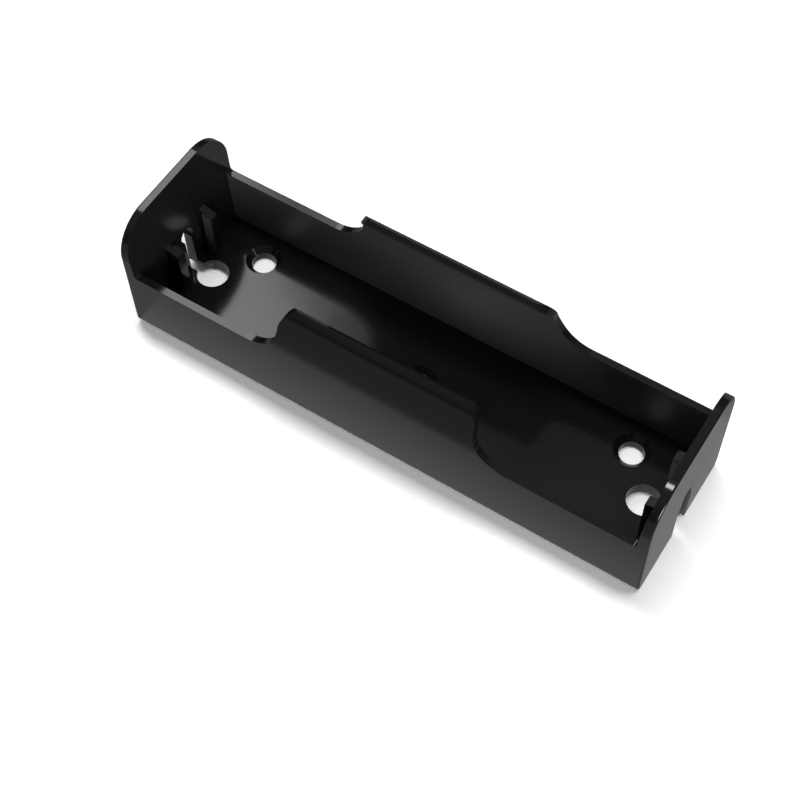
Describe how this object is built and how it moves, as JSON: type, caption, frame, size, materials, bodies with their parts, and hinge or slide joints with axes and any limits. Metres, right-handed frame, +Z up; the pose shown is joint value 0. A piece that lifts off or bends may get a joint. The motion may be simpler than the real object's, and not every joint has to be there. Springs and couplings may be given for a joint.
{
  "type": "cylindrical cell holder",
  "caption": "Open moulded trough for one cylindrical cell, with rounded end walls, curved side tabs, contact slots and countersunk floor holes.",
  "frame": {"origin": "middle of the underside", "axes": "+X along the cell, +Y towards the side with the two off-centre floor holes, +Z up out of the trough"},
  "size_m": [0.077, 0.0218, 0.0198],
  "materials": {
    "shell": "gloss"
  },
  "bodies": {
    "root": {"holder_shell": "shell"}
  },
  "joints": []
}
